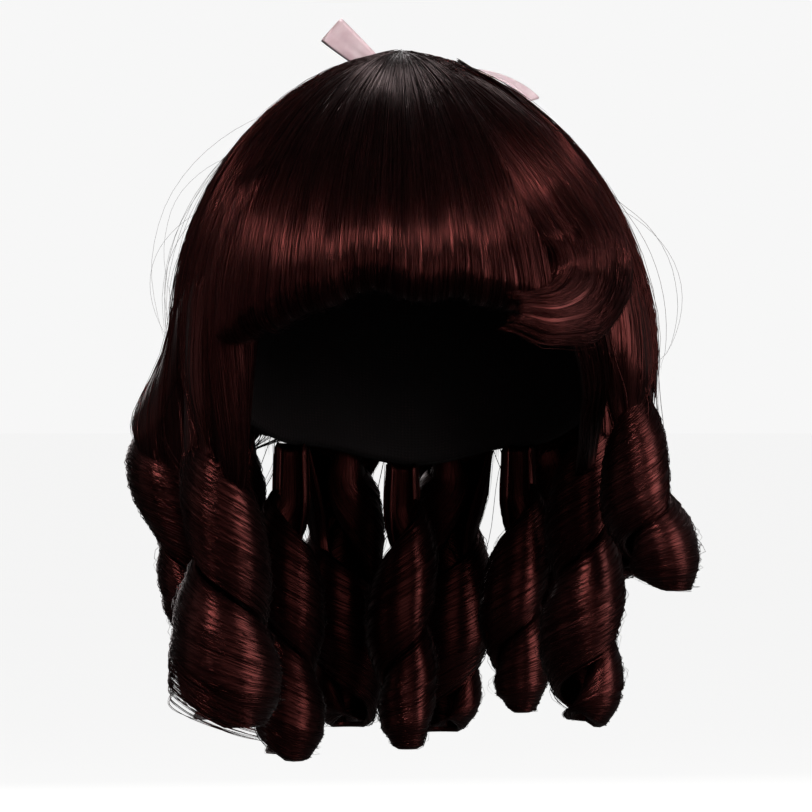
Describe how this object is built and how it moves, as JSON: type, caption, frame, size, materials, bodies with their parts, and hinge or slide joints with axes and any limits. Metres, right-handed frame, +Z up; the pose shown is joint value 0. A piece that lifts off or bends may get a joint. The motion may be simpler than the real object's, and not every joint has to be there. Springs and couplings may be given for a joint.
{
  "type": "ringlet wig",
  "caption": "Dark auburn ringlet wig: combed crown, rolled fringe, temple wave, barrel curls hanging round the sides and back, and a ribbon bow behind the crown, on a soft cap.",
  "frame": {"origin": "top of the hollow inside the cap, where the crown of the head sits", "axes": "+Z up, -Y the way the face looks, +X to the right as seen from the front"},
  "size_m": [0.2157, 0.2447, 0.2923],
  "materials": {
    "hair": "glossy synthetic fibre, dark auburn",
    "cap_cloth": "matt stretch net",
    "ribbon": "pale pink satin"
  },
  "bodies": {
    "root": {"cap_crown": "cap_cloth", "cap_front": "cap_cloth", "cap_left_upper": "cap_cloth", "cap_left_lower": "cap_cloth", "cap_right_upper": "cap_cloth", "cap_right_lower": "cap_cloth", "cap_back_upper": "cap_cloth", "cap_back_lower": "cap_cloth", "crown_hair": "hair", "fringe": "hair", "temple_wave": "hair", "ringlet_left_front": "hair", "ringlet_left_outer": "hair", "ringlet_left_side": "hair", "ringlet_left_back": "hair", "ringlet_left_low": "hair", "ringlet_back_left": "hair", "ringlet_back_low": "hair", "ringlet_back_right": "hair", "ringlet_right_back": "hair", "ringlet_right_low": "hair", "ringlet_right_rear": "hair", "ringlet_right_side": "hair", "ringlet_right_front": "hair", "ringlet_right_outer": "hair", "bow_knot": "ribbon", "bow_loop_left": "ribbon", "bow_loop_right": "ribbon", "bow_tail_left": "ribbon", "bow_tail_right": "ribbon"}
  },
  "joints": []
}
